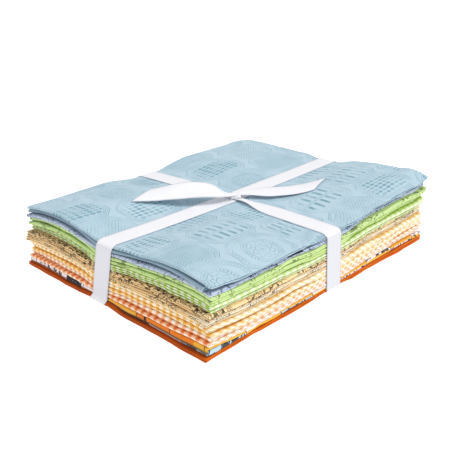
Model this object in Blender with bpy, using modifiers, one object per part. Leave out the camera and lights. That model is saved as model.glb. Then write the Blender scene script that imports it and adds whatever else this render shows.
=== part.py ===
# A bundle of folded cotton cuts, tied crosswise with one ribbon that is knotted on top.
# Metres, +Z up. The origin is on the floor under the middle of the stack. +X runs along the
# long side, and the folds that face out are at -X and -Y.
#
# Every cut and both turns of the ribbon are first laid out flat and square, in "laid" places:
# x and y from the middle of the stack and level from its lowest sheet. settle() then moves each
# point to where the tied bundle holds it.

import math
from collections import namedtuple

import bmesh
import bpy
from mathutils import Vector

MM = 0.001

# Folded cloth. A cut of two runs is folded in three across its 21 in side, so that one run is
# three plies, and then halved over at -X. A cut of three runs is halved along its 18 in side, so
# that one run is two plies, and then folded back and forth, last at -Y.
LENGTH = 229 * MM
WIDTH = 178 * MM
SHEET = 1.0 * MM
AIR = 0.4 * MM
PITCH = SHEET + AIR
BEND_STEPS = 3
BEND_REACH = PITCH / 2 + SHEET / 2
COTTON_ROUGHNESS = 0.85

# Ribbon
RIBBON_WIDTH = 15 * MM
RIBBON_SHEET = 1.0 * MM
RIBBON_CLEAR = 0.4 * MM
CORNER_RADIUS = 3 * MM
CORNER_STEPS = 4
CROSSING_STEP = 0.5 * MM
UNDER_LONG_TURN = 0.5 * MM
UNDER_CROSS_TURN = 0.8 * MM
CHANNEL_DEPTH = 1.8 * MM
SATIN_ROUGHNESS = 0.45

# Where the middle of each turn of the ribbon runs, on top of the stack and below it. The long
# turn leans to +Y at its left end, and the cross turn slants by so much at the front and back.
LONG_TURN_Y = -2 * MM
LONG_TURN_LEAN_TOP = 6 * MM
LONG_TURN_LEAN_BELOW = 12 * MM
CROSS_TURN_X_TOP = -4.5 * MM
CROSS_TURN_X_BELOW = -1.5 * MM
CROSS_TURN_SLANT_TOP = -3.5 * MM
CROSS_TURN_SLANT_BELOW = -4.0 * MM

# The ribbon presses the stack down over PRESS_FLAT either side of its middle, and the dent
# runs out at PRESS_REACH. The depths are those at the middle and at the four edges, below
# TIED_HEIGHT.
TIED_HEIGHT = 46 * MM
PRESS_FLAT = 10 * MM
PRESS_REACH = 46 * MM
PRESS_MIDDLE = 2.0 * MM
PRESS_LEFT = 1.5 * MM
PRESS_RIGHT = 2.2 * MM
PRESS_FRONT = 5.0 * MM
PRESS_BACK = 5.0 * MM

# Layers wander up and down a little from edge to edge.
WANDER = 0.45 * MM
WANDER_RISE = 23 * MM
WANDER_LENGTH = 41 * MM
WANDER_WIDTH = 57 * MM

# Places in the laid stack where the cloth may bend, the same for every cut
X_STATIONS = (10 * MM, 24 * MM, 75 * MM)
Y_STATIONS = (10 * MM, 22 * MM, 58 * MM)

# How far the top of each quarter rises above TIED_HEIGHT: at its corner, in the middle of its
# edge at the end and at the side of the stack, and in its own middle
Quarter = namedtuple("Quarter", "side_x side_y corner end side middle")
QUARTERS = (
    Quarter(-1, -1, 1.0 * MM, 3.0 * MM, -2.4 * MM, 2.4 * MM),
    Quarter(-1, 1, -1.5 * MM, 4.8 * MM, 0.0 * MM, 1.4 * MM),
    Quarter(1, -1, 5.0 * MM, 2.9 * MM, -1.8 * MM, 1.6 * MM),
    Quarter(1, 1, -2.2 * MM, -0.5 * MM, 0.5 * MM, 1.4 * MM),
)

# One row for each cut, from the floor up. The shifts and the turn are how it lies askew, and
# extra_x and extra_y are how much larger than the others it was folded.
Cut = namedtuple("Cut", "name colour runs shift_x shift_y turn extra_x extra_y")
ORANGE = (0.83, 0.20, 0.02)
AMBER = (0.93, 0.47, 0.08)
APRICOT = (0.97, 0.70, 0.45)
YELLOW = (0.97, 0.85, 0.45)
TAN = (0.80, 0.62, 0.36)
LIME = (0.62, 0.78, 0.28)
POWDER = (0.55, 0.70, 0.79)
CUTS = (
    Cut("cut_01_orange_plain", ORANGE, 2, -0.65 * MM, 0.5 * MM, -0.4, 3.9 * MM, 1.0 * MM),
    Cut("cut_02_amber_print", AMBER, 2, 0.4 * MM, 0.8 * MM, -0.3, -0.6 * MM, 0.0 * MM),
    Cut("cut_03_orange_check", APRICOT, 2, -0.8 * MM, 0.4 * MM, 0.3, 1.6 * MM, 0.0 * MM),
    Cut("cut_04_orange_check", APRICOT, 2, 0.6 * MM, 0.0 * MM, -0.2, 0.0 * MM, 1.0 * MM),
    Cut("cut_05_yellow_check", YELLOW, 2, 0.0 * MM, -0.5 * MM, 0.4, -1.0 * MM, 0.0 * MM),
    Cut("cut_06_yellow_check", YELLOW, 2, 0.8 * MM, 0.3 * MM, -0.3, 0.0 * MM, -0.8 * MM),
    Cut("cut_07_yellow_check", YELLOW, 2, -0.4 * MM, -0.4 * MM, 0.2, 0.0 * MM, 0.6 * MM),
    Cut("cut_08_tan_sketch", TAN, 3, -1.0 * MM, 1.0 * MM, 0.5, 2.4 * MM, 0.4 * MM),
    Cut("cut_09_tan_twigs", TAN, 3, -0.8 * MM, 0.8 * MM, 0.7, 1.0 * MM, 0.8 * MM),
    Cut("cut_10_green_check", LIME, 3, 0.7 * MM, -0.4 * MM, -0.4, -1.2 * MM, 0.0 * MM),
    Cut("cut_11_green_mist", LIME, 2, 0.3 * MM, 0.2 * MM, 0.3, -0.6 * MM, -0.6 * MM),
    Cut("cut_12_green_plain", LIME, 2, 0.9 * MM, -0.5 * MM, -0.3, 0.0 * MM, 0.6 * MM),
    Cut("cut_13_blue_speck", POWDER, 2, -0.5 * MM, 0.5 * MM, 0.4, 0.0 * MM, 0.0 * MM),
    Cut("cut_14_blue_rule", POWDER, 2, 0.2 * MM, 0.3 * MM, -0.2, -1.4 * MM, -0.8 * MM),
    Cut("cut_15_blue_medallion", POWDER, 2, 1.2 * MM, -0.5 * MM, 0.2, 1.0 * MM, 1.2 * MM),
)
STACK_HEIGHT = sum(cut.runs for cut in CUTS) * PITCH - AIR

# The knot, the width to which the cross turn is gathered at it, and the two free ends. The rows
# of an end follow its middle line from the knot. The lifts are those of its two long edges above
# the cloth, left and right as seen going outwards. The run on is how far each long edge is cut
# past, or short of, the last row.
KNOT_PLACE = (-3.0 * MM, -5.0 * MM)
KNOT_SIZE = Vector((11.0 * MM, 8.5 * MM, 4.4 * MM))
KNOT_TURN = math.radians(-38)
KNOT_EDGE = 1.7 * MM
KNOT_RISE = 2.8 * MM
GATHERED_WIDTH = 10.0 * MM
EndRow = namedtuple("EndRow", "x y lift_left lift_right width")
LEFT_END = (
    EndRow(-3.0 * MM, -5.0 * MM, 3.0 * MM, 3.0 * MM, 5.0 * MM),
    EndRow(-9.0 * MM, -4.0 * MM, 5.0 * MM, 6.0 * MM, 9.0 * MM),
    EndRow(-17.0 * MM, 0.0 * MM, 8.5 * MM, 11.0 * MM, RIBBON_WIDTH),
    EndRow(-26.5 * MM, 7.0 * MM, 9.5 * MM, 12.5 * MM, RIBBON_WIDTH),
    EndRow(-37.0 * MM, 17.0 * MM, 7.0 * MM, 11.0 * MM, RIBBON_WIDTH),
    EndRow(-46.5 * MM, 26.5 * MM, 3.4 * MM, 8.0 * MM, RIBBON_WIDTH),
    EndRow(-54.5 * MM, 35.0 * MM, 1.4 * MM, 5.2 * MM, RIBBON_WIDTH),
)
RIGHT_END = (
    EndRow(-1.0 * MM, -5.0 * MM, 3.2 * MM, 3.2 * MM, 5.0 * MM),
    EndRow(7.0 * MM, -11.0 * MM, 4.6 * MM, 3.6 * MM, 9.0 * MM),
    EndRow(16.0 * MM, -19.5 * MM, 5.0 * MM, 3.2 * MM, 14.5 * MM),
    EndRow(27.0 * MM, -27.5 * MM, 3.2 * MM, 2.2 * MM, RIBBON_WIDTH),
    EndRow(38.5 * MM, -33.5 * MM, 1.8 * MM, 1.4 * MM, RIBBON_WIDTH),
    EndRow(50.0 * MM, -37.5 * MM, 1.3 * MM, 1.3 * MM, RIBBON_WIDTH),
)
LEFT_END_RUN_ON = (7 * MM, -5 * MM)
RIGHT_END_RUN_ON = (12 * MM, -8 * MM)
RIBBON_WHITE = (0.90, 0.90, 0.93)


def clamp(value):
    return max(0.0, min(1.0, value))


def between(low, high, share):
    return low + (high - low) * share


def stations(steps, half):
    """Both signs of the steps, and the two ends."""
    inner = sorted(steps)
    return [-half] + [-s for s in reversed(inner)] + inner + [half]


ALL_X = stations(X_STATIONS, LENGTH / 2)
ALL_Y = stations(Y_STATIONS, WIDTH / 2)


def press(distance):
    """1 under the ribbon, 0 beyond its reach."""
    share = clamp((abs(distance) - PRESS_FLAT) / (PRESS_REACH - PRESS_FLAT))
    return 0.5 + 0.5 * math.cos(math.pi * share)


def snug(distance, steps):
    """1 under the ribbon, and 0 from the second station out."""
    return 1 - clamp((abs(distance) - steps[0]) / (steps[1] - steps[0]))


def hump(distance, half):
    """0 under the ribbon and at the edge of the stack, 1 half way between."""
    share = clamp((abs(distance) - PRESS_FLAT) / (half - PRESS_FLAT))
    return 4 * share * (1 - share)


def smooth_top(x, y):
    """Height of the top of the tied stack over a laid place."""
    quarter = next(q for q in QUARTERS if q.side_x * x >= 0 and q.side_y * y >= 0)
    along = abs(x) / (LENGTH / 2)
    across = abs(y) / (WIDTH / 2)
    hump_x = hump(x, LENGTH / 2)
    hump_y = hump(y, WIDTH / 2)
    rise = quarter.corner * along * across
    rise += quarter.end * hump_y * along**2
    rise += quarter.side * hump_x * across**2
    rise += quarter.middle * hump_x * hump_y
    end_depth = PRESS_LEFT if x < 0 else PRESS_RIGHT
    side_depth = PRESS_FRONT if y < 0 else PRESS_BACK
    long_dent = between(PRESS_MIDDLE, end_depth, along**2) * press(y)
    cross_dent = between(PRESS_MIDDLE, side_depth, across**2) * press(x)
    shared = PRESS_MIDDLE * press(x) * press(y)
    return TIED_HEIGHT + rise - long_dent - cross_dent + shared


def smooth_floor(x, y):
    """Height of the underside of the stack: flat on the floor, with a channel for the ribbon."""
    return CHANNEL_DEPTH * max(snug(x, X_STATIONS), snug(y, Y_STATIONS))


def wander(x, y, level):
    """How far the layer at this level strays from its even height."""
    inside = math.sin(math.pi * clamp(level / STACK_HEIGHT))
    turn = math.tau * level / WANDER_RISE + x / WANDER_LENGTH - y / WANDER_WIDTH
    return WANDER * inside * math.sin(turn)


def smooth_height(x, y, level):
    low = smooth_floor(x, y)
    high = smooth_top(x, y)
    if level < 0:
        return low + level
    if level > STACK_HEIGHT:
        return high + level - STACK_HEIGHT
    return low + (high - low) * (level + wander(x, y, level)) / STACK_HEIGHT


def span_of(value, marks):
    """The two marks that a value lies between, and its share of the way. A value past the last
    mark carries on the last span."""
    for low, high in zip(marks, marks[1:]):
        if value <= high:
            break
    return low, high, (value - low) / (high - low)


def height(x, y, level):
    """smooth_height with straight cloth between the stations, so that all layers bend alike."""
    x0, x1, share_x = span_of(x, ALL_X)
    y0, y1, share_y = span_of(y, ALL_Y)
    near = between(smooth_height(x0, y0, level), smooth_height(x1, y0, level), share_x)
    far = between(smooth_height(x0, y1, level), smooth_height(x1, y1, level), share_x)
    return between(near, far, share_y)


def long_turn_y(x, level):
    """Where the middle of the ribbon's long turn runs, on top and below."""
    left = clamp(-x / (LENGTH / 2))
    on_top = LONG_TURN_Y + LONG_TURN_LEAN_TOP * left**3
    below = LONG_TURN_Y + LONG_TURN_LEAN_BELOW * left
    return between(below, on_top, clamp(level / STACK_HEIGHT))


def cross_turn_x(y, level):
    """Where the middle of the ribbon's cross turn runs, on top and below."""
    across = y / (WIDTH / 2)
    on_top = CROSS_TURN_X_TOP + CROSS_TURN_SLANT_TOP * across
    below = CROSS_TURN_X_BELOW + CROSS_TURN_SLANT_BELOW * across
    return between(below, on_top, clamp(level / STACK_HEIGHT))


def tuck(level):
    """How far the ribbon draws in an edge at this level, so that it turns the corner round."""
    depth = CORNER_RADIUS - max(0.0, min(level, STACK_HEIGHT - level))
    if depth <= 0:
        return 0.0
    return CORNER_RADIUS - math.sqrt(max(0.0, CORNER_RADIUS**2 - depth**2))


def drawn(x, y, level):
    """The plan place to which the ribbon's slanting turns draw a laid place."""
    aside_x = cross_turn_x(y, level) * (1 - clamp(abs(x) / (LENGTH / 2)))
    aside_y = long_turn_y(x, level) * (1 - clamp(abs(y) / (WIDTH / 2)))
    return x + aside_x, y + aside_y


def edge_move(cut, x, y, level):
    """How far this cut's own edge lies from the laid edge, along x and along y."""
    turn = math.radians(cut.turn)
    near_end = clamp((abs(x) - X_STATIONS[-1]) / (LENGTH / 2 - BEND_REACH - X_STATIONS[-1]))
    near_side = clamp((abs(y) - Y_STATIONS[-1]) / (WIDTH / 2 - BEND_REACH - Y_STATIONS[-1]))
    out_x = math.copysign(1, x)
    out_y = math.copysign(1, y)
    held_x = snug(y, Y_STATIONS)
    held_y = snug(x, X_STATIONS)
    own_x = (cut.shift_x - turn * y + out_x * cut.extra_x / 2) * (1 - held_x)
    own_y = (cut.shift_y + turn * x + out_y * cut.extra_y / 2) * (1 - held_y)
    own_x -= out_x * tuck(level) * held_x
    own_y -= out_y * tuck(level) * held_y
    return own_x * near_end, own_y * near_side


def settle(x, y, level, cut=None):
    """The place in the tied bundle of a laid place."""
    move_x, move_y = edge_move(cut, x, y, level) if cut else (0.0, 0.0)
    plan_x, plan_y = drawn(x, y, level)
    return Vector((plan_x + move_x, plan_y + move_y, height(x + move_x, y + move_y, level)))


def cloth_top(plan_x, plan_y):
    """Height of the top cloth over a place in the tied bundle."""
    x = plan_x - cross_turn_x(plan_y, STACK_HEIGHT) * (1 - abs(plan_x) / (LENGTH / 2))
    y = plan_y - long_turn_y(plan_x, STACK_HEIGHT) * (1 - abs(plan_y) / (WIDTH / 2))
    return height(x, y, STACK_HEIGHT)


def clear_scene():
    for old in list(bpy.data.objects):
        bpy.data.objects.remove(old, do_unlink=True)


def new_collection(name):
    collection = bpy.data.collections.new(name)
    bpy.context.scene.collection.children.link(collection)
    return collection


def fabric(name, colour, roughness):
    material = bpy.data.materials.new(name)
    material.use_nodes = True
    shader = material.node_tree.nodes["Principled BSDF"]
    shader.inputs["Base Color"].default_value = (*colour, 1.0)
    shader.inputs["Roughness"].default_value = roughness
    shader.inputs["Metallic"].default_value = 0.0
    return material


def add_object(name, mesh, collection):
    made = bpy.data.objects.new(name, mesh)
    collection.objects.link(made)
    return made


def surface(name, rows, collection, turned=()):
    """An open sheet through rows of points, all cut the same way. A row in turned starts a
    stretch that runs backwards, and its diagonal is swapped so that it matches the others."""
    sheet = bmesh.new()
    grid = [[sheet.verts.new(point) for point in row] for row in rows]
    for i, (near, far) in enumerate(zip(grid, grid[1:])):
        for j in range(len(near) - 1):
            corners = [near[j], near[j + 1], far[j + 1], far[j]]
            if i in turned:
                corners = corners[1:] + corners[:1]
            sheet.faces.new(corners)
    bmesh.ops.triangulate(sheet, faces=sheet.faces, quad_method="FIXED")
    mesh = bpy.data.meshes.new(name)
    sheet.to_mesh(mesh)
    sheet.free()
    return add_object(name, mesh, collection)


def thicken(obj, thickness):
    """Gives an open sheet its thickness, half on each side."""
    solidify = obj.modifiers.new("Thickness", "SOLIDIFY")
    solidify.thickness = thickness
    solidify.offset = 0.0
    solidify.use_even_offset = True
    solidify.use_rim = True
    bake(obj)


def bake(obj):
    """Replaces an object's mesh with what its modifiers make of it."""
    graph = bpy.context.evaluated_depsgraph_get()
    made = bpy.data.meshes.new_from_object(obj.evaluated_get(graph))
    obj.modifiers.clear()
    obj.data = made


def fold_path(runs, first_level, marks):
    """Back-and-forth path of a cut's section: points (place, level), and which steps run
    backwards. The marks are the places along the runs, and the last bend is at their low end."""
    inner = marks[1:-1]
    half = marks[-1]
    path = []
    backwards = []
    for run in range(runs):
        level = first_level + SHEET / 2 + run * PITCH
        to_high = (runs - run) % 2 == 1
        bend_before = run > 0
        bend_after = run < runs - 1
        low = BEND_REACH - half if (bend_before if to_high else bend_after) else -half
        high = half - BEND_REACH if (bend_after if to_high else bend_before) else half
        line = [low, *inner, high]
        first_step = len(path)
        path += [(place, level) for place in (line if to_high else reversed(line))]
        if not to_high:
            backwards += range(first_step, len(path) - 1)
        if bend_after:
            side = 1 if to_high else -1
            for step in range(1, BEND_STEPS):
                angle = math.pi * step / BEND_STEPS
                out = side * (half - BEND_REACH + PITCH / 2 * math.sin(angle))
                path.append((out, level + PITCH / 2 * (1 - math.cos(angle))))
    return path, backwards


def folded_cut(cut, first_run, collection, holder):
    """One cut of cloth as a single back-and-forth sheet, laid flat and then settled."""
    if cut.runs == 2:
        path, backwards = fold_path(cut.runs, first_run * PITCH, ALL_X)
        rows = [[(x, y, level) for y in ALL_Y] for x, level in path]
    else:
        path, backwards = fold_path(cut.runs, first_run * PITCH, ALL_Y)
        rows = [[(x, y, level) for x in ALL_X] for y, level in path]
    obj = surface(cut.name, rows, collection, turned=backwards)
    thicken(obj, SHEET)
    obj.location = (cut.shift_x, cut.shift_y, first_run * PITCH)
    for vertex in obj.data.vertices:
        vertex.co = settle(*vertex.co, cut=cut) - obj.location
    obj.data.materials.append(fabric(cut.name, cut.colour, COTTON_ROUGHNESS))
    obj.parent = holder
    return obj


def turn_loop(half, steps):
    """Laid places (along, level) of one ribbon turn, clockwise from the middle of the top."""
    clear = RIBBON_CLEAR + RIBBON_SHEET / 2
    radius = CORNER_RADIUS + clear
    straight = [-s for s in reversed(steps)] + list(steps)
    loop = [(s, STACK_HEIGHT + clear) for s in straight]
    for quarter in range(4):
        centre = (half - CORNER_RADIUS) * (1 if quarter < 2 else -1)
        level = STACK_HEIGHT - CORNER_RADIUS if quarter in (0, 3) else CORNER_RADIUS
        for step in range(CORNER_STEPS + 1):
            angle = math.pi / 2 * (quarter + step / CORNER_STEPS)
            loop.append((centre + radius * math.sin(angle), level + radius * math.cos(angle)))
        if quarter == 1:
            loop += [(-s, -clear) for s in straight]
    return loop


def ribbon_turn(name, half, steps, along_x, under_height, collection):
    """One closed turn of the ribbon round the stack."""
    clear = RIBBON_CLEAR + RIBBON_SHEET / 2
    rows = []
    for along, level in turn_loop(half, steps):
        at_knot = not along_x and level > STACK_HEIGHT and abs(along) <= steps[0]
        width = GATHERED_WIDTH if at_knot else RIBBON_WIDTH
        row = []
        for across in (-width / 2, width / 2):
            x, y = (along, across) if along_x else (across, along)
            point = settle(x, y, level)
            if level < CORNER_RADIUS:
                share = (CORNER_RADIUS - level) / (CORNER_RADIUS + clear)
                point.z = between(height(x, y, CORNER_RADIUS), under_height, share)
            if at_knot:
                point.z += CROSSING_STEP
            row.append(point)
        rows.append(row)
    band = surface(name, rows + rows[:1], collection)
    weld(band)
    thicken(band, RIBBON_SHEET)
    return band


def weld(obj):
    """Closes a loop whose first and last rows lie on each other."""
    mesh = bmesh.new()
    mesh.from_mesh(obj.data)
    bmesh.ops.remove_doubles(mesh, verts=mesh.verts, dist=MM / 100)
    mesh.to_mesh(obj.data)
    mesh.free()


def free_end(name, table, run_on, collection):
    """One free end of the ribbon, from inside the knot to its slanting cut."""
    rows = []
    for i, row in enumerate(table):
        before = table[max(i - 1, 0)]
        after = table[min(i + 1, len(table) - 1)]
        ahead = Vector((after.x - before.x, after.y - before.y, 0)).normalized()
        left = Vector((-ahead.y, ahead.x, 0))
        middle = Vector((row.x, row.y, 0))
        edges = []
        for side, lift, extra in ((1, row.lift_left, run_on[0]), (-1, row.lift_right, run_on[1])):
            point = middle + left * side * row.width / 2
            if i == len(table) - 1:
                point += ahead * extra
            point.z = cloth_top(point.x, point.y) + lift
            edges.append(point)
        rows.append(edges)
    end = surface(name, rows, collection)
    thicken(end, RIBBON_SHEET)
    return end


def knot(collection):
    """The knot as a small soft-edged pad across the crossing."""
    mesh = bpy.data.meshes.new("knot")
    pad = bmesh.new()
    bmesh.ops.create_cube(pad, size=1.0)
    for vertex in pad.verts:
        vertex.co = vertex.co * KNOT_SIZE
    pad.to_mesh(mesh)
    pad.free()
    obj = add_object("knot", mesh, collection)
    obj.location = (*KNOT_PLACE, cloth_top(*KNOT_PLACE) + KNOT_RISE)
    obj.rotation_euler.z = KNOT_TURN
    edge = obj.modifiers.new("Edge", "BEVEL")
    edge.width = KNOT_EDGE
    edge.segments = 2
    return obj


def join(base, others):
    """Unites the pieces of the ribbon into one solid."""
    for other in others:
        union = base.modifiers.new("Join " + other.name, "BOOLEAN")
        union.operation = "UNION"
        union.solver = "EXACT"
        union.object = other
        bake(base)
        bpy.data.objects.remove(other, do_unlink=True)


def tied_ribbon(collection, holder):
    """The ribbon: a long turn, a cross turn, the knot and two free ends, in one solid."""
    long_turn = ribbon_turn("ribbon", LENGTH / 2, X_STATIONS, True, UNDER_LONG_TURN, collection)
    cross_turn = ribbon_turn("cross", WIDTH / 2, Y_STATIONS, False, UNDER_CROSS_TURN, collection)
    left = free_end("left_end", LEFT_END, LEFT_END_RUN_ON, collection)
    right = free_end("right_end", RIGHT_END, RIGHT_END_RUN_ON, collection)
    join(long_turn, [cross_turn, knot(collection), left, right])
    long_turn.data.materials.clear()
    long_turn.data.materials.append(fabric("ribbon", RIBBON_WHITE, SATIN_ROUGHNESS))
    long_turn.parent = holder
    return long_turn


def main():
    clear_scene()
    collection = new_collection("Fabric bundle")
    holder = add_object("bundle", None, collection)
    first_run = 0
    for cut in CUTS:
        folded_cut(cut, first_run, collection, holder)
        first_run += cut.runs
    tied_ribbon(collection, holder)


main()
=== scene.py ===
import math
from collections import namedtuple

import bpy
import numpy as np
from mathutils import Matrix, Vector


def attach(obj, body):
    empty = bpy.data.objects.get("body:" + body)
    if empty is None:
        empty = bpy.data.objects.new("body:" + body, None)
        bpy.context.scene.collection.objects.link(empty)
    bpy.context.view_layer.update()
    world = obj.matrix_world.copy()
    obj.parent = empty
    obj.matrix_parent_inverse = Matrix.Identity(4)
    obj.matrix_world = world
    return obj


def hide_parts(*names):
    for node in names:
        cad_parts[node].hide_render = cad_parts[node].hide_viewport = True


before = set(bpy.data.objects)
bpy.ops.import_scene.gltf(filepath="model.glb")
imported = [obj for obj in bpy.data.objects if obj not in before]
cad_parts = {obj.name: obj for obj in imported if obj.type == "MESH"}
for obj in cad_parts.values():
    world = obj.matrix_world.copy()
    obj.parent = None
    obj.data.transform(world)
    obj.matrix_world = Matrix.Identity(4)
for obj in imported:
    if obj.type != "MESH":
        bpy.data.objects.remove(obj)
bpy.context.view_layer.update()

mm = 0.001
tau = math.tau

# Places are worked out in millimetres and made metres when a mesh is built. "Laid" places are
# those of the flat square stack; settle() moves them to where the ribbon holds the cloth.
stack = {
    "length": 229.0, "width": 178.0, "pitch": 1.4, "air": 0.4,
    "tiedHeight": 46.0, "channel": 0.9, "cornerTop": 4.2, "cornerLow": 1.2, "lowHold": 0.8, "lowOut": 1.9,
    "pressFlat": 10.0, "pressReach": 46.0, "pressMiddle": 2.0,
    "pressLeft": 1.5, "pressRight": 1.0, "pressFront": 3.0, "pressBack": 4.2,
    "wander": 0.3, "wanderRise": 23.0, "wanderLength": 41.0, "wanderWidth": 57.0,
    "jitter": 0.18, "jitterRise": 6.3, "jitterLength": 17.0, "jitterWidth": 13.5,
    "jitterBend": (1.7, 19.0, 23.0), "heldBelow": 10.0, "floorZone": (0.8, 2.6),
}
halfX, halfY = stack["length"] / 2, stack["width"] / 2
snugX = (10.0, 24.0)  # the ribbon holds the cloth inside the first, and lets go at the second
snugY = (10.0, 22.0)
ownX = (75.0, halfX - 1.2)  # where a cut's own shift fades in, towards its edge
ownY = (58.0, halfY - 1.2)
quarters = {  # (side x, side y): rise at the corner, end, side and middle
    (-1, -1): (2.2, 3.2, -2.4, 2.4),
    (-1, 1): (-1.5, 4.8, -1.0, 1.4),
    (1, -1): (5.0, 2.9, -0.8, 1.6),
    (1, 1): (-2.2, -0.5, 0.5, 1.4),
}

bumps = (  # x, y, reach along x, reach along y, rise
    (-114, -77, 34, 15, 1.0), (-114, -34, 40, 14, -1.2), (-92, -89, 22, 8, -1.0), (104, -89, 9, 30, -1.8),
    (114, -78, 26, 11, 2.3), (92, -89, 20, 9, -0.8), (102, 89, 14, 16, 0.9), (115, 90, 7, 7, -1.1),
)

# Layers that part between two levels: x, y, reach along x and along y, gap, from and to level, fade above
partings = (
    (-114, 0, 26, 200, 1.7, 2.9, 4.8, 24), (-114, -89, 22, 30, 1.2, 2.9, 4.6, 24),
    (40, -89, 200, 20, 1.0, 2.9, 4.8, 24), (114, -89, 110, 30, 1.3, 0.3, 2.2, 24),
    (-20, -89, 95, 26, 2.4, 31.6, 37.2, 8.8), (100, -89, 50, 26, 1.2, 31.6, 37.2, 8.8),
)

# Soft creases on the top cloth: from x, y to x, y, how wide, how high (a trough is below 0)
creases = (
    (-14, 12, -58, 30, 7, 0.5), (-16, -16, -60, -34, 8, 0.5), (12, -16, 30, -58, 7, 0.6),
    (-18, -20, -30, -70, 6, -0.4), (16, 12, 62, 26, 8, 0.5), (10, 16, 22, 62, 6, 0.5),
    (-14, 18, -24, 66, 7, 0.4), (20, -12, 74, -18, 6, -0.4), (-70, -40, -108, -62, 9, 0.5),
    (60, -60, 104, -80, 10, 0.6), (-40, -78, 30, -82, 5, -0.35), (-104, -70, -100, 30, 4, -0.4),
    (46, 40, 98, 70, 9, 0.4), (-60, 50, -104, 74, 8, 0.4), (34, -74, 90, -66, 4, -0.3),
    (-110.6, -84, -109.4, -18, 1.3, -0.7), (-109.4, 20, -110.8, 80, 1.4, -0.4),
    (-100, -85.2, -24, -84.6, 1.3, -0.45), (30, -84.8, 100, -85.4, 1.4, -0.4),
)

# Shift, turn in degrees and extra size of each cut, then how far it lies back at -X, -Y and the corner
Cut = namedtuple("Cut", "node slot runs shiftX shiftY turn extraX extraY backLeft backFront backCorner")
cuts = [Cut(*row) for row in (
    ("cut_01_orange_plain", "orange_plain", 2, -0.65, 0.5, -0.4, 3.9, 1.0, 0.0, 0.0, 0.0),
    ("cut_02_amber_print", "amber_print", 2, -0.3, 0.2, -0.3, 0.4, 0.0, -0.2, 0.0, 0.0),
    ("cut_03_orange_check", "orange_check", 2, -0.8, 0.4, 0.3, 1.6, 0.0, 0.3, 0.0, 0.0),
    ("cut_04_orange_check", "apricot_check", 2, 0.6, 0.0, -0.2, 0.0, 1.0, 0.0, 0.3, 0.0),
    ("cut_05_yellow_check", "gold_check", 2, 0.0, -0.5, 0.4, -1.0, 0.0, 0.2, 0.0, 0.0),
    ("cut_06_yellow_check", "yellow_check", 2, 0.8, 0.3, -0.3, 0.0, -0.8, 0.0, 0.2, 0.0),
    ("cut_07_yellow_check", "straw_check", 2, -0.4, -0.4, 0.2, 0.0, 0.6, 0.6, 0.0, 0.0),
    ("cut_08_tan_sketch", "tan_sketch", 3, -1.0, 1.0, 0.5, 2.4, 0.4, 0.0, 0.4, 0.0),
    ("cut_09_tan_twigs", "tan_twigs", 3, -0.8, 0.8, 0.7, 1.0, 0.8, 0.0, 0.0, -0.6),
    ("cut_10_green_check", "green_check", 3, 0.7, -0.4, -0.4, -1.2, 0.0, 0.3, 0.3, 0.6),
    ("cut_11_green_mist", "green_mist", 2, 0.3, 0.2, 0.3, -0.6, -0.6, 0.0, 0.4, 0.6),
    ("cut_12_green_plain", "green_plain", 2, 0.9, -0.5, -0.3, 0.0, 0.6, 0.5, 0.0, 0.4),
    ("cut_13_blue_speck", "blue_speck", 2, -0.5, 0.5, 0.4, 0.0, 0.0, 0.0, 0.3, -0.6),
    ("cut_14_blue_rule", "blue_rule", 2, 0.2, 0.3, -0.2, -1.4, -0.8, 0.5, 1.6, -2.8),
    ("cut_15_blue_medallion", "blue_medallion", 2, 1.2, -0.5, 0.2, 1.0, 1.2, -0.3, -0.2, -0.9),
)]
stackHeight = sum(cut.runs for cut in cuts) * stack["pitch"] - stack["air"]


def clamp(value):
    return np.clip(value, 0.0, 1.0)


def between(low, high, share):
    return low + (high - low) * share


def ease(value):
    share = clamp(value)
    return share * share * (3 - 2 * share)


def press(distance):
    share = clamp((np.abs(distance) - stack["pressFlat"]) / (stack["pressReach"] - stack["pressFlat"]))
    return 0.5 + 0.5 * np.cos(math.pi * share)


def snug(distance, steps):
    return 1 - ease((np.abs(distance) - steps[0]) / (steps[1] - steps[0]))


def hump(distance, half):
    share = clamp((np.abs(distance) - stack["pressFlat"]) / (half - stack["pressFlat"]))
    return 4 * share * (1 - share)


# 0 where the ribbon holds the cloth, 1 well away from it.
def freedom(x, y):
    return (1 - snug(x, snugX)) * (1 - snug(y, snugY))


def hill(x, y, placeX, placeY, reachX, reachY):
    return np.exp(-((x - placeX) / reachX) ** 2 - ((y - placeY) / reachY) ** 2)


# Height of the tied stack's top over a laid place.
def topHeight(x, y):
    along, across = np.abs(x) / halfX, np.abs(y) / halfY
    humpX, humpY = hump(x, halfX), hump(y, halfY)
    rise = np.zeros(np.broadcast(x, y).shape)
    for (sideX, sideY), (corner, end, side, middle) in quarters.items():
        here = ((x >= 0) == (sideX > 0)) & ((y >= 0) == (sideY > 0))
        own = corner * along * across + end * humpY * along**2
        own = own + side * humpX * across**2 + middle * humpX * humpY
        rise = np.where(here, own, rise)
    endDepth = np.where(x < 0, stack["pressLeft"], stack["pressRight"])
    sideDepth = np.where(y < 0, stack["pressFront"], stack["pressBack"])
    longDent = between(stack["pressMiddle"], endDepth, along**2) * press(y)
    crossDent = between(stack["pressMiddle"], sideDepth, across**2) * press(x)
    shared = stack["pressMiddle"] * press(x) * press(y)
    for *spot, high in bumps:
        rise = rise + high * hill(x, y, *spot)
    return stack["tiedHeight"] + rise - longDent - crossDent + shared


# What the soft creases add to the top cloth.
def creaseHeight(x, y):
    total = np.zeros(np.broadcast(x, y).shape)
    for x0, y0, x1, y1, wide, high in creases:
        dx, dy = x1 - x0, y1 - y0
        share = clamp(((x - x0) * dx + (y - y0) * dy) / (dx * dx + dy * dy))
        away = np.hypot(x - x0 - share * dx, y - y0 - share * dy)
        total = total + high * np.exp(-((away / wide) ** 2)) * np.sin(math.pi * (0.12 + 0.76 * share))
    return total * freedom(x, y)


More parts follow.
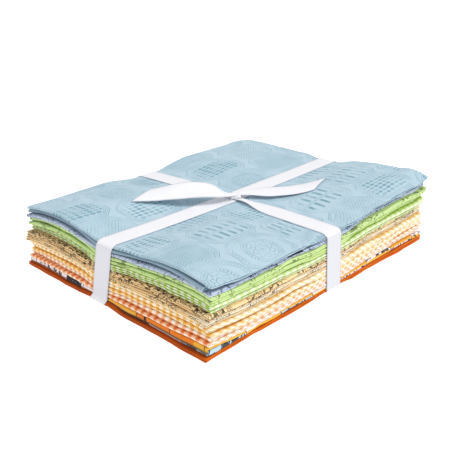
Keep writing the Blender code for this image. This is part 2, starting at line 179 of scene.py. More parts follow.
# Height of a laid place. It always grows with the level, so no two layers meet.
def heightAt(x, y, level):
    low = stack["channel"] * np.maximum(snug(x, snugX), snug(y, snugY))
    high = topHeight(x, y)
    inside = np.sin(math.pi * clamp(level / stackHeight))
    turn = tau * level / stack["wanderRise"] + x / stack["wanderLength"] - y / stack["wanderWidth"]
    stray = stack["wander"] * inside * np.sin(turn)
    nearEnds = clamp(level / 4) * clamp((stackHeight - level - 3) / 9)
    turn = tau * level / stack["jitterRise"] + x / stack["jitterLength"] + y / stack["jitterWidth"]
    bend, bendLength, bendWidth = stack["jitterBend"]
    turn = turn + bend * np.sin(x / bendLength - y / bendWidth)
    stray = stray + stack["jitter"] * nearEnds * np.sin(turn)
    for *spot, gap, low0, high0, fade in partings:
        near = hill(x, y, *spot)
        if low0 < stack["heldBelow"]:
            near = near * freedom(x, y)
        rise = ease((level - low0) / (high0 - low0)) * (1 - clamp((level - high0) / fade))
        stray = stray + gap * near * rise
    middle = low + (high - low) * (level + stray) / stackHeight
    lifted = np.where(level > stackHeight, high + level - stackHeight, middle)
    lifted = np.where(level < 0, low + level, lifted)
    return lifted + creaseHeight(x, y) * ease((level - stackHeight + 14) / 14)


def longTurnY(x, level):
    left = clamp(-x / halfX)
    return between(-2 + 13 * left, -2 + 3 * left**3, clamp(level / stackHeight))


def crossTurnX(y, level):
    across = y / halfY
    return between(-1.5 - 4.0 * across, -4.5 - 3.5 * across, clamp(level / stackHeight))


# How far the ribbon draws the cloth in where it turns over an edge.
def tuck(level):
    drawn = 0.0
    for radius, away in ((stack["cornerTop"], stackHeight - level), (stack["cornerLow"], level)):
        depth = np.maximum(0.0, radius - np.maximum(0.0, away))
        drawn = drawn + radius - np.sqrt(np.maximum(0.0, radius**2 - depth**2))
    return drawn


def nearFloor(level):
    start, reach = stack["floorZone"]
    return 1 - ease((level - start) / reach)


# The place in the tied bundle of each laid place.
def settle(x, y, level, cut=None):
    asideX = crossTurnX(y, level) * (1 - clamp(np.abs(x) / halfX))
    asideY = longTurnY(x, level) * (1 - clamp(np.abs(y) / halfY))
    moveX = moveY = 0.0
    if cut:
        turn = math.radians(cut.turn)
        nearEnd = clamp((np.abs(x) - ownX[0]) / (ownX[1] - ownX[0]))
        nearSide = clamp((np.abs(y) - ownY[0]) / (ownY[1] - ownY[0]))
        heldX = snug(y, snugY) * (1 - stack["lowHold"] * nearFloor(level) * (x < 0))
        heldY = snug(x, snugX)
        outX, outY = np.sign(x), np.sign(y)
        moveX = (cut.shiftX - turn * y + outX * cut.extraX / 2) * (1 - heldX) - outX * tuck(level) * heldX
        moveY = (cut.shiftY + turn * x + outY * cut.extraY / 2) * (1 - heldY) - outY * tuck(level) * heldY
        moveX, moveY = moveX * nearEnd, moveY * nearSide
    z = heightAt(x + moveX, y + moveY, level)
    return np.stack([x + asideX + moveX, y + asideY + moveY, z], axis=-1)


# Height of the top cloth over a place in the tied bundle.
def topCloth(x, y):
    laidX = x - crossTurnX(y, stackHeight) * (1 - np.abs(x) / halfX)
    laidY = y - longTurnY(x, stackHeight) * (1 - np.abs(y) / halfY)
    return heightAt(laidX, laidY, stackHeight)


# A smooth random line that stays between about -1 and 1.
def ripple(rng, longest, shortest, count=5):
    lengths = np.geomspace(longest, shortest, count)
    phases = rng.uniform(0, tau, count)
    sizes = (lengths / longest) ** 0.6
    sizes = sizes / sizes.sum() * 1.7
    return lambda t: sum(a * np.sin(tau * t / w + p) for a, w, p in zip(sizes, lengths, phases))


# Quads over a row of rings. An open row is capped at both ends.
def ringQuads(count, around, closed):
    i, j = np.meshgrid(np.arange(count if closed else count - 1), np.arange(around), indexing="ij")
    nextI, nextJ = (i + 1) % count * around, (j + 1) % around
    sides = np.stack([i * around + j, i * around + nextJ, nextI + nextJ, nextI + j], -1).reshape(-1, 4)
    if closed:
        return sides
    k = np.arange(around // 2 - 1)
    cap = np.stack([k, around - 1 - k, around - 2 - k, k + 1], -1)
    return np.concatenate([sides, cap, (cap + (count - 1) * around)[:, ::-1]])


# The quads of a closed shape, turned so that they point outwards.
def outward(points, quads):
    a, b, c, d = (points[quads[:, i]] for i in range(4))
    volume = np.sum(a * np.cross(b, c)) + np.sum(a * np.cross(c, d))
    return quads if volume > 0 else quads[:, ::-1]


def addObject(name, mesh):
    made = bpy.data.objects.new(name, mesh)
    bpy.context.scene.collection.objects.link(made)
    return made


# A mesh in metres from points in millimetres.
def buildMesh(name, points, quads, uv, shares=()):
    quads = outward(points, quads)
    mesh = bpy.data.meshes.new(name)
    mesh.vertices.add(len(points))
    mesh.vertices.foreach_set("co", (points * mm).astype(np.float32).ravel())
    mesh.loops.add(quads.size)
    mesh.loops.foreach_set("vertex_index", quads.astype(np.int32).ravel())
    mesh.polygons.add(len(quads))
    mesh.polygons.foreach_set("loop_start", np.arange(0, quads.size, 4, dtype=np.int32))
    mesh.update(calc_edges=True)
    mesh.polygons.foreach_set("use_smooth", np.ones(len(quads), bool))
    layer = mesh.uv_layers.new(name="cloth")
    layer.data.foreach_set("uv", uv[quads.ravel()].astype(np.float32).ravel())
    for key, values in dict(shares).items():
        mesh.attributes.new(key, "FLOAT", "POINT").data.foreach_set("value", values.astype(np.float32))
    return addObject(name, mesh)


# Folded cuts. Each is a true 18 x 21 in cut of thin cotton. One with two runs is folded in three
# across, then halved over at -X. One with three runs is halved first, then folded back and forth.
cloth = {
    "flat": (457.0, 533.0), "thick": 0.30,
    "letter": (0.0, -0.39, 0.39),      # heights of the three plies in one run: flap, inner, outer
    "wrap": (0.60, 1.80),             # heights of the two runs of a halved cut
    "pair": (-0.31, 0.31),            # heights of the two plies in one run of a zigzag cut
    "zigzag": (0.5, 1.9, 3.3),
    "flapShort": 7.0,                 # the inner flap ends this far from the fold
    "stations": (38, 30), "topStations": (88, 66),  # along X and along Y
    # The shade keys on this line and the next set the painted shade: how far in from a fold the colour is
    # darkened between layers, how much darker the top cloth's nose and the -X face are painted, and how
    # much less at the front.
    "endSteps": (0.5, 1.4, 2.6, 3.8, 5.5), "shadeReach": 1.5, "shadeFront": 0.8, "topNoseShade": 0.34,
    "leftFaceShade": 0.4, "leftFaceShadeLow": 0.9, "frontShadeSoft": 0.3, "cornerReach": 24.0,
    "dented": ("cut_01_orange_plain",), "dent": 0.9, "dentAt": 1.2, "dentReach": 0.26,
    "edgeFade": 26.0, "foldRagged": 0.45, "layerRagged": 0.3, "cutRagged": 0.8, "topRagged": 0.25,
    "plyRagged": 0.4, "endRagged": 0.5, "cutShort": (0.8, 0.6),
}


# Stations from low to high, closer together near both ends.
def spanStations(low, high, count):
    inner = np.linspace(low, high, count)
    steps = np.array(cloth["endSteps"])
    inner = inner[(inner > low + steps[-1] * 1.6) & (inner < high - steps[-1] * 1.6)]
    return np.concatenate([[low], low + steps, inner, high - steps[::-1], [high]])


# Runs at these heights, joined by round bends. Each row is a place, its height, the way the printed
# side faces there and the run. side is the way that the first run goes, and clear half its thickness.
def foldCurve(half, heights, side, clear, count, bendSteps, short=0.0):
    path = []
    start = side * (short - half)
    for run, height in enumerate(heights):
        last = run == len(heights) - 1
        radius = 0 if last else abs(heights[run + 1] - height) / 2
        stop = side * half if last else side * (half - radius - clear)
        places = spanStations(min(start, stop), max(start, stop), count)
        path += [(place, height, 0.0, side, run) for place in (places if side > 0 else places[::-1])]
        if not last:
            middle = (height + heights[run + 1]) / 2
            way = math.copysign(1, height - heights[run + 1])
            for step in range(1, bendSteps):
                angle = way * math.pi * (0.5 - step / bendSteps)
                out, rise = side * math.cos(angle), math.sin(angle)
                owner = run + (step > bendSteps / 2)
                faces = side * way
                path.append((stop + out * radius, middle + rise * radius, faces * out, faces * rise, owner))
        start, side = stop, -side
    return np.array(path, float)


# Distance along a curve, scaled so that it ends at total.
def lengths(path, total):
    run = np.concatenate([[0], np.cumsum(np.hypot(np.diff(path[:, 0]), np.diff(path[:, 1])))])
    return run / run[-1] * total


# One cut as a closed sheet of its real thickness, with its own cloth coordinates.
def foldedCut(number, row, level0):
    halved = row.runs == 2
    rng = np.random.default_rng(700 + number)
    isTop = number == len(cuts)
    columns, lines = cloth["topStations"] if isTop else cloth["stations"]
    thick = cloth["thick"]
    if halved:
        plies = foldCurve(halfY, cloth["letter"], 1, thick / 2, lines, 5, short=cloth["flapShort"])
        plies[:, [1, 3]] *= -1  # the middle panel lies outside, both ends inside
        route = foldCurve(halfX, cloth["wrap"], -1, cloth["letter"][2] + thick / 2, columns, 9)
        plyTotal, routeTotal = cloth["flat"][1], cloth["flat"][0]
    else:
        plies = foldCurve(halfX, cloth["pair"], -1, thick / 2, columns, 6)
        route = foldCurve(halfY, cloth["zigzag"], 1, cloth["pair"][1] + thick / 2, lines, 8)
        plyTotal, routeTotal = cloth["flat"][0], cloth["flat"][1]
    # The ply's two faces make one ring, which is swept along the route
    place, height, outX, outZ = plies.T[:4]
    ringAt = np.concatenate([place + outX * thick / 2, (place - outX * thick / 2)[::-1]])
    ringUp = np.concatenate([height + outZ * thick / 2, (height - outZ * thick / 2)[::-1]])
    ringRun = np.concatenate([plies[:, 4], plies[::-1, 4]])
    ringLength = lengths(plies, plyTotal)
    ringLength = np.concatenate([ringLength, ringLength[::-1]])
    routeLength = lengths(route, routeTotal)[:, None]
    count, around = len(route), len(ringAt)
    own = np.broadcast_to(ringAt, (count, around))
    other = route[:, 0:1] + route[:, 2:3] * ringUp
    level = level0 + route[:, 1:2] + route[:, 3:4] * ringUp
    x, y = (other, own) if halved else (own, other)
    # Folds and cut edges that are not quite straight. Layers differ only where no fold joins them.
    routeRun = route[:, 4:5] + ringRun * 0
    plyRun = route[:, 4:5] * 0 + ringRun
    fade = cloth["edgeFade"]
    atLeft, atRight = ease((-x - halfX + fade) / fade), ease((x - halfX + fade) / fade)
    atFront, atBack = ease((-y - halfY + fade) / fade), ease((y - halfY + fade) / fade)
    apart = 1 - np.minimum(np.abs(y / halfY), 1) ** 8
    ragged = cloth["topRagged"] if isTop else cloth["cutRagged"]
    moveX = atLeft * (cloth["foldRagged"] * ripple(rng, 90, 14)(y) + row.backLeft)
    moveX = moveX + atRight * (ragged * ripple(rng, 70, 14)(y) - cloth["cutShort"][0])
    moveY = atFront * (cloth["foldRagged"] * ripple(rng, 110, 15)(x) + row.backFront)
    moveY = moveY + atBack * (ragged * ripple(rng, 80, 14)(x) - cloth["cutShort"][1])
    for run in range(3):
        inRoute, inPlies = routeRun == run, plyRun == run
        stray = ragged * ripple(rng, 50, 12)(y) + rng.uniform(-0.5, 0.3)
        moveX = moveX + atRight * apart * inRoute * stray
        stray = cloth["plyRagged"] * ripple(rng, 40, 12)(y) + rng.uniform(-0.4, 0.2)
        moveX = moveX + atRight * apart * inPlies * stray
        stray = cloth["layerRagged"] * ripple(rng, 60, 13)(x if halved else y) + rng.uniform(-0.1, 0.4)
        if halved:
            free = (1 - atLeft) * inRoute
            moveY = moveY + atFront * free * stray
            moveY = moveY + atBack * free * cloth["layerRagged"] * ripple(rng, 50, 13)(x)
            stray = cloth["endRagged"] * ripple(rng, 50, 12)(x) - 0.4
            moveY = moveY + atBack * inPlies * (run == 2) * stray
        else:
            moveX = moveX + atLeft * apart * inRoute * stray
            stray = cloth["plyRagged"] * ripple(rng, 50, 12)(x) + 0.4
            moveY = moveY + atFront * inRoute * (run == 0) * stray
            stray = cloth["endRagged"] * ripple(rng, 50, 12)(x) - 0.5
            moveY = moveY + atBack * inRoute * (run == 2) * stray
    # A dent along the middle of the fold at -X
    hollow = np.exp(-((route[:, 1:2] - cloth["dentAt"]) / cloth["dentReach"]) ** 2)
    dent = hollow * (route[:, 2:3] < -0.5) * (row.node in cloth["dented"])
    moveX = moveX + cloth["dent"] * dent
    moveX = moveX + row.backCorner * np.exp(-(((y + halfY) / cloth["cornerReach"]) ** 2)) * atLeft
    loose = freedom(x, y)
    points = settle(x + moveX * loose, y + moveY * loose, level, row)
    # Painted shade: the colour is darkened a little way in from each fold, where one layer meets the next,
    # and less near the front; the outer top and bottom surfaces are left as they are.
    inward = np.minimum(halfX - np.abs(x), halfY - np.abs(y))
    covered = ease((level - 0.4) / 0.4) * ease((stackHeight - 0.4 - level) / 0.4)
    front = ease((-y - halfY + 14) / 10)
    deep = ease(inward / between(cloth["shadeReach"], cloth["shadeFront"], front)) * covered
    if isTop:
        # Painted shade: the top cloth's nose is darkened below its upper shoulder, less so along the front.
        atEdge = ease((stackHeight - 0.2 - level) / 0.8) * (1 - 0.7 * ease(-y - halfY + 3))
        deep = np.maximum(deep, cloth["topNoseShade"] * atEdge)
    else:
        # Painted shade: the -X face of each cut is coloured darker and more saturated, the bottom cut most,
        # standing in for the side that the lights reach less.
        leftFaceShade = cloth["leftFaceShadeLow"] if number == 1 else cloth["leftFaceShade"]
        deep = np.maximum(deep, leftFaceShade * ease((-x - halfX + 3) / 3))
    deep = deep * (1 - cloth["frontShadeSoft"] * front)
    # The dent at -X is also painted darker: painted shade in its groove, besides the real hollow.
    deep = np.maximum(deep, dent).reshape(-1)
    # Raw edges: their line, the way out of the cloth, and how free of the ribbon each place is
    middle = (points[:, :around // 2] + points[:, ::-1][:, :around // 2]) / 2
    free = loose[:, :around // 2]
    rawEdges = [
        (middle[0], middle[0] - middle[1], free[0]), (middle[-1], middle[-1] - middle[-2], free[-1]),
        (middle[:, -1], middle[:, -1] - middle[:, -2], free[:, -1]),
    ]
    if not halved:
        rawEdges.append((middle[:, 0], middle[:, 0] - middle[:, 1], free[:, 0]))
    # Round a fold the outer plies use up more cloth than the inner ones
    turned = np.arcsin(np.clip(route[:, 3:4], -1, 1)) * np.exp(-(route[:, 0:1] + halfX) / 20) * halved
    routeLength = routeLength + ringUp * turned
    across, down = (routeLength, ringLength[None]) if halved else (ringLength[None], routeLength)
    uv = np.stack(np.broadcast_arrays(across * mm, down * mm), -1).reshape(-1, 2)
    inside = np.broadcast_to(np.arange(around) >= around // 2, (count, around)).reshape(-1)
    name, quads = row.node.replace("cut_", "cloth_"), ringQuads(count, around, False)
    return buildMesh(name, points.reshape(-1, 3), quads, uv, {"inside": inside, "deep": deep}), rawEdges


# One output in a node tree. Sums, products and comparisons of these make the math nodes.
class Value:
    def __init__(self, tree, socket):
        self.tree, self.socket = tree, socket

    def math(self, operation, *others):
        return calc(self.tree, operation, self, *others)

    def __add__(self, other):
        return self.math("ADD", other)

    def __sub__(self, other):
        return self.math("SUBTRACT", other)

    def __rsub__(self, other):
        return calc(self.tree, "SUBTRACT", other, self)

    def __mul__(self, other):
        return self.math("MULTIPLY", other)

    def __truediv__(self, other):
        return self.math("DIVIDE", other)

    def __lt__(self, other):
        return self.math("LESS_THAN", other)

    def __gt__(self, other):
        return self.math("GREATER_THAN", other)

    def __abs__(self):
        return self.math("ABSOLUTE")


def addNode(tree, kind, inputs=(), **settings):
    node = tree.nodes.new(kind)
    for key, value in settings.items():
        setattr(node, key, value)
    for key, value in dict(inputs).items():
        value = value.socket if isinstance(value, Value) else value
        if isinstance(value, bpy.types.NodeSocket):
            tree.links.new(value, node.inputs[key])
        else:
            node.inputs[key].default_value = value
    return node


# One output of a new node.
def outputOf(tree, kind, inputs=(), key=0, **settings):
    return Value(tree, addNode(tree, kind, inputs, **settings).outputs[key])


def calc(tree, operation, *values):
    return outputOf(tree, "ShaderNodeMath", dict(enumerate(values)), operation=operation)


def vectorMath(vector, operation, other):
    inputs = {0: vector, "Scale" if operation == "SCALE" else 1: other}
    return outputOf(vector.tree, "ShaderNodeVectorMath", inputs, operation=operation)


# Scene-linear colour from a screen colour.
def colour(hexCode):
    parts = [int(hexCode[i:i + 2], 16) / 255 for i in (0, 2, 4)]
    return tuple(p / 12.92 if p <= 0.04045 else ((p + 0.055) / 1.055) ** 2.4 for p in parts) + (1.0,)


# The first colour where the share is 0, the second where it is 1.
def mixColour(share, first, second, mode="MIX"):
    tree = next(value.tree for value in (share, first, second) if isinstance(value, Value))
    first, second = (colour(value) if isinstance(value, str) else value for value in (first, second))
    inputs = {0: share, 6: first, 7: second}
    return outputOf(tree, "ShaderNodeMix", inputs, 2, data_type="RGBA", blend_type=mode)


def moved(place, offset=(0, 0, 0), scale=(1, 1, 1)):
    return outputOf(place.tree, "ShaderNodeMapping", {"Vector": place, "Location": offset, "Scale": scale})


def noise(place, scale, detail=2.0, key=0):
    inputs = {"Vector": place, "Scale": scale, "Detail": detail}
    return outputOf(place.tree, "ShaderNodeTexNoise", inputs, key)


def cellEdge(place, scale):
    inputs = {"Vector": place, "Scale": scale}
    return outputOf(place.tree, "ShaderNodeTexVoronoi", inputs, "Distance", feature="DISTANCE_TO_EDGE")


# What chance gives one cell of a repeat: a number (key 0) or a colour (key 1).
def cellChance(across, down, key):
    cell = outputOf(across.tree, "ShaderNodeCombineXYZ", {0: across, 1: down})
    return outputOf(across.tree, "ShaderNodeTexWhiteNoise", {"Vector": cell}, key, noise_dimensions="2D")


def split(place):
    outputs = addNode(place.tree, "ShaderNodeSeparateXYZ", {0: place}).outputs
    return Value(place.tree, outputs[0]), Value(place.tree, outputs[1])


def sine(value, length):
    return (value * (tau / length)).math("SINE")


# 1 on the first share of each period, 0 on the rest.
def bands(along, period, share, phase):
    return (along * (1 / period) + phase).math("FRACT") < share


# 1 where the value is zero, fading out at width either side.
def nearLine(value, width):
    return 1.0 - (abs(value) / width).math("MINIMUM", 1.0)


def most(*values):
    total = values[0]
    for value in values[1:]:
        total = total.math("MAXIMUM", value)
    return total


# 0 below the limit, 1 above it.
def above(value, limit, softness):
    return ((value - limit) / softness).math("MAXIMUM", 0.0).math("MINIMUM", 1.0)


# The cloth coordinates, bent by a slow noise.
def wandered(place, scale, amount):
    bent = vectorMath(noise(place, scale, key="Color"), "SUBTRACT", (0.5, 0.5, 0.5))
    return vectorMath(place, "ADD", vectorMath(bent, "SCALE", amount))


# Prints. Each one gets the cloth coordinates in millimetres and its own settings.
def checkPrint(place, look):
    across, down = (bands(along, period, look["share"], phase)
                    for along, period, phase in zip(split(place), look["period"], look["phase"]))
    light = mixColour(across, look["white"], look["warp"])
    dark = mixColour(across, look["weft"], look["full"])
    return mixColour(down, light, dark)


def plainPrint(place, look):
    return mixColour(above(noise(place, 0.05, 3.0), 0.35, 0.3), look["full"], look["half"])


# Loose pen scribbles, contour lines and short hatching, thick in some places and bare in others.
def lineArtPrint(place, look):
    bent = wandered(moved(place, look["place"]), 0.12, look["wander"])
    pen = 1.0 - above(cellEdge(bent, look["scale"]), look["line"] * look["scale"], 0.15 * look["scale"])
    ring = (noise(bent, look["scale"] * 0.6, 1.0) * look["rings"]).math("FRACT")
    contour = above(nearLine(ring - 0.5, look["ringLine"]), 0.35, 0.3)
    u, v = split(bent)
    leaning = u * look["hatch"] + v * (look["hatch"] * 0.7)
    hatch = above(nearLine(leaning.math("FRACT") - 0.5, 0.28), 0.3, 0.3)
    patch = above(noise(place, 0.1, 1.0), look["patch"], 0.02)
    ink = most(pen, contour, hatch * patch) * above(noise(place, 0.05), look["bare"], 0.03)
    ground = mixColour(noise(place, 0.03), look["half"], look["full"])
    if "pale" in look:
        pale = nearLine(split(place)[1] - look["paleAt"], look["paleReach"])
        ground = mixColour(pale, ground, look["pale"])
    return mixColour(ink * look["strength"], ground, look["ink"])


# One of a few flat colours, by a value from 0 to 1.
def stepped(pick, blocks):
    ramp = addNode(pick.tree, "ShaderNodeValToRGB", {0: pick})
    ramp.color_ramp.interpolation = "CONSTANT"
    for step, (start, code) in enumerate(blocks):
        stop = ramp.color_ramp.elements[step] if step < 2 else ramp.color_ramp.elements.new(start)
        stop.position = start
        stop.color = colour(code)
    return Value(pick.tree, ramp.outputs[0])


# A long dark mark, over a drawn print.
def darkMark(place, look, drawn):
    markU, markV = (bands(along, step, size / step, start) for along, step, size, start in zip(
        split(place), look["dashStep"], look["dash"], look["dashPlace"]))
    grain = above(noise(moved(place, scale=(1.0, 0.35, 1)), 0.9), look["dashBare"], 0.06)
    return mixColour(markU * markV * grain, drawn, look["dark"])


# Rows of oblong patches with dark outlines: warm rows and pale rows by turns, some with strokes.
def patchPrint(place, look):
    u, v = split(place)
    wide, tall = look["patch"]
    row = u * (1 / wide) + look["start"]
    rowIndex = row.math("FLOOR")
    column = rowIndex * look["rowShift"] + v * (1 / tall)
    pick, other = split(cellChance(rowIndex, column.math("FLOOR"), 1))
    warm = ((rowIndex + (v < look["turned"])) * 0.5).math("FRACT") < 0.25
    nearFold = abs(v - look["amberAt"]) < look["amberReach"]
    warmTone = mixColour(nearFold, stepped(pick, look["warm"]), look["amber"])
    ground = mixColour(warm, stepped(pick, look["cool"]), warmTone)
    edge = most(nearLine((row - row.math("ROUND")) * wide, look["outline"][0]),
                nearLine((column - column.math("ROUND")) * tall, look["outline"][1]))
    bent = wandered(place, 0.1, 7.0)
    stroke = (1.0 - above(cellEdge(bent, 0.16), 0.05, 0.02)) * (other - warm > 0.55)
    blob = above(noise(bent, 0.13, 1.0), 0.68, 0.01)
    inked = mixColour(most(edge, stroke, blob) * look["strength"], ground, look["ink"])
    return darkMark(place, look, inked)


# Fine ruled stripes.
def rulePrint(place, look):
    rule = nearLine((split(place)[1] * (1 / look["period"])).math("FRACT") - 0.5, 0.3)
    ground = mixColour(noise(place, 0.06, 1.0), look["full"], look["half"])
    return mixColour(rule * look["strength"], ground, look["ink"])


# Line art with a few long dark marks.
def dashPrint(place, look):
    return darkMark(place, look, lineArtPrint(place, look))


# Tone-on-tone panels: cut-corner frames round rosettes, bars, leaf rows, waves and a lattice.
def medallionPrint(place, look):
    wide, tall = look["panel"]
    width = look["line"]
    u, v = split(moved(place, look["place"]))
    acrossCells = u / wide
    column = acrossCells.math("FLOOR")
    downCells = column * look["rowShift"] + v / tall
    x = (acrossCells.math("FRACT") - 0.5) * wide
    y = (downCells.math("FRACT") - 0.5) * tall
    pick = cellChance(column, downCells.math("FLOOR"), 0)

    def lineAt(value, at, share=1.0):
        return nearLine(value - at, width * share)

    def wave(value, step):
        return value.math("PINGPONG", step) - step / 2

    def chosen(low, high):
        return (pick > low) * (pick < high)

    corner = abs(x) + abs(y) - (wide / 2 + tall / 2 - look["corner"])
    inward = most(abs(x) - wide / 2, abs(y) - tall / 2, corner * 0.707)
    edge = most(lineAt(inward, -0.9, 1.2), lineAt(inward, -2.2, 0.8), lineAt(inward, -4.6, 0.9))
    beads = lineAt(inward, -3.4, 1.5) * above(sine(x + y, 2.4), 0.1, 0.4)
    field = 1.0 - above(inward, -5.6, 0.1)

    radius = (x * x + y * y).math("SQRT")
    angle = y.math("ARCTAN2", x)
    petal = (angle * 10.0).math("COSINE") * -0.9 + radius
    spokes = nearLine((angle * 9.0).math("SINE") * radius, 1.0) * (1.0 - above(radius, 4.4, 0.1))
    rim = above((angle * 36.0).math("SINE"), -0.2, 0.4) * nearLine(radius - 11.4, 1.3)
    circles = most(lineAt(radius, 4.7), lineAt(radius, 9.7), lineAt(radius, 12.9, 0.8))
    rosette = most(lineAt(petal, 7.2, 1.3), circles, rim, spokes)

    waves = nearLine(wave(sine(x, 6.5) * 0.9 + y, 1.9), width * 1.1)
    lattice = most(nearLine(wave(x + y, 2.8), width), nearLine(wave(x - y, 2.8), width))
    stem = wave(y, 3.6)
    leaf = abs(sine(x, 10.0)) * 1.5 - abs(stem)
    leaves = most(above(leaf, 0.0, 0.35), nearLine(stem, width * 0.6))
    fromRow = abs(wave(y, 12.5))
    bar = above(wave(x, 3.1), 0.1, 0.35) * above(4.6 - fromRow, 0.0, 0.3)
    bars = most(bar, nearLine(fromRow - 5.6, width))

    # Each motif takes its share of the panels
    motifs = (
        (rosette, -1, 0.3), (waves, 0.3, 0.44), (leaves, 0.44, 0.62),
        (bars, 0.62, 0.82), (lattice, 0.82, 2.0),
    )
    inner = most(*(motif * chosen(low, high) for motif, low, high in motifs))
    worn = above(noise(place, 0.09, 3.0), 0.28, 0.3)
    ink = most(edge, beads, inner * field) * worn * look["strength"]
    ground = mixColour(noise(place, 0.02), look["full"], look["half"])
    ground = mixColour(chosen(0.15, 0.5) * field * look["tone"], ground, look["ink"])
    return mixColour(ink, ground, look["ink"])


def newFinish(name, constants):
    material = bpy.data.materials.new(name)
    material.use_nodes = True
    shader = material.node_tree.nodes["Principled BSDF"]
    for key, value in constants.items():
        shader.inputs[key].default_value = value
    return material


# The cloth's own coordinates, in millimetres.
def clothPlace(tree):
    return vectorMath(outputOf(tree, "ShaderNodeUVMap", uv_map="cloth"), "SCALE", 1 / mm)


def attribute(tree, name):
    return outputOf(tree, "ShaderNodeAttribute", key="Fac", attribute_name=name)


def connect(base, raised, strength, distance):
    tree = base.tree
    shader = tree.nodes["Principled BSDF"]
    bump = addNode(tree, "ShaderNodeBump", {"Height": raised, "Strength": strength, "Distance": distance})
    tree.links.new(base.socket, shader.inputs["Base Color"])
    tree.links.new(bump.outputs[0], shader.inputs["Normal"])


weave = {
    "pitch": 0.72, "tone": 0.35, "slub": (0.08, 1.6), "slubTone": 0.10,
    "bump": 0.5, "bumpHeight": 0.12 * mm, "reverse": (0.9, 0.88, 0.84, 1), "reversePale": 0.5,
    # How strong the painted shade is, and how much it multiplies the colour by itself
    "deepShade": 0.62, "deepTwice": 0.65, "sheen": 0.18,
}


# Printed cotton: the print, plain weave, slubs, a paler reverse and painted shade, a darker and more
# saturated colour where the cut's painted-shade attribute is high.
def clothMaterial(name, printer, look):
    material = newFinish(name, {
        "Roughness": 0.86, "Specular IOR Level": 0.25, "Sheen Roughness": 0.45,
        "Sheen Weight": look.get("sheen", weave["sheen"]),
    })
    tree = material.node_tree
    place = clothPlace(tree)
    u, v = split(place)
    plain = sine(u, weave["pitch"]) * sine(v, weave["pitch"])
    long, short = weave["slub"]
    slubs = noise(moved(place, scale=(long, short, 1)), 1.0)
    slubs = slubs + noise(moved(place, scale=(short, long, 1)), 1.0)
    threads = plain * weave["tone"] + slubs
    lit = vectorMath(printer(place, look), "SCALE", (threads - 1.0) * weave["slubTone"] + 1.0)
    reverse = mixColour(weave["reversePale"], lit, weave["reverse"])
    sided = mixColour(attribute(tree, "inside"), lit, reverse)
    # Painted shade: the colour times itself and a tint, mixed in by the painted-shade attribute
    again = mixColour(weave["deepTwice"], (1, 1, 1, 1), sided)
    dark = mixColour(1.0, mixColour(1.0, sided, again, "MULTIPLY"), look["deep"] + (1,), "MULTIPLY")
    shaded = mixColour(attribute(tree, "deep") * weave["deepShade"], sided, dark)
    raised = plain * 0.35 + noise(place, 0.22, 3.0) * 1.6 + threads * 0.5
    connect(shaded, raised, weave["bump"], weave["bumpHeight"])
    return material


# Tints of the painted shade between the layers and on the -X face
warmShadeTint, checkShadeTint = (0.74, 0.56, 0.33), (0.92, 0.78, 0.5)
greenShadeTint, blueShadeTint = (0.46, 0.52, 0.27), (0.22, 0.29, 0.35)

gingham = {"period": (6.2, 5.4), "share": 0.46}  # one repeat along the warp and along the weft
Check = namedtuple("Check", "white warp weft full phase deep")
checks = {
    "orange_check": Check("FFF8F6", "FCD0AA", "FBC496", "EE8844", (0.10, 0.40), checkShadeTint),
    "apricot_check": Check("FFF8F6", "FBCDA0", "FAC696", "EE924A", (0.60, 0.36), checkShadeTint),
    "gold_check": Check("FFFAF0", "FBDA98", "F8CE7C", "F0B242", (0.14, 0.42), checkShadeTint),
    "yellow_check": Check("FFFBF2", "FCE2A8", "F8D486", "EFBE48", (0.63, 0.34), checkShadeTint),
    "straw_check": Check("FFFBF4", "FCE6B0", "FBDC90", "F4C64C", (0.08, 0.44), checkShadeTint),
    "green_check": Check("F4FAE0", "DCF0A8", "C8E272", "B2D656", (0.9, 0.95), greenShadeTint),
}

# Line art: colours, with the tint of the painted shade last, then place, size, bend, line widths, number of
# rings, hatching, how much is bare
LineArt = namedtuple(
    "LineArt", "full half ink deep place scale wander line rings ringLine hatch patch bare strength",
)
lineArt = {
    "tan_sketch": LineArt(
        "F7D490", "FFEFCA", "4A2E14", warmShadeTint, (11, 3, 0), 0.19, 5.0,
        0.09, 8.0, 0.07, 0.75, 0.6, 0.5, 0.9),
    "tan_twigs": LineArt(
        "F7D28E", "FFECC2", "3A2410", warmShadeTint, (77, 41, 0), 0.15, 8.0,
        0.13, 8.0, 0.09, 0.65, 0.6, 0.43, 0.95),
    "green_mist": LineArt(
        "C8E48A", "DAF0AC", "7F9A48", greenShadeTint, (35, 20, 0), 0.05, 9.0,
        0.2, 3.0, 0.05, 0.3, 0.8, 0.45, 0.6),
    "green_plain": LineArt(
        "CCE892", "DEF2B4", "5E7034", greenShadeTint, (5, 60, 0), 0.07, 12.0,
        0.2, 4.0, 0.06, 0.3, 0.75, 0.45, 0.75),
    "blue_speck": LineArt(
        "C2D2E8", "D6E0F0", "22356C", blueShadeTint, (51, 8, 0), 0.09, 9.0,
        0.08, 6.0, 0.07, 0.4, 0.64, 0.4, 0.88),
}
onceOnly = (914.0, 1066.0)  # a step of twice the cut, so that a mark comes once
lineArtExtras = {
    "tan_sketch": {"pale": "FFF8E4", "paleAt": 355.3, "paleReach": 16.0},
    # The dark mark along the upper ply of the -X fold is partly print and partly painted shade in the
    # crevice under the green cuts.
    "tan_twigs": {
        "dark": "442808", "dash": (5.0, 170.0), "dashStep": onceOnly,
        "dashPlace": (-0.2489, -0.3377), "dashBare": 0.5,
    },
    # The dark block is partly print and partly painted shadow under the top cloth's edge.
    "blue_speck": {
        "dark": "26333C", "dash": (15.0, 16.0), "dashStep": (400.0, 158.0),
        "dashPlace": (-0.742, 0.817), "dashBare": -1.0,
    },
}

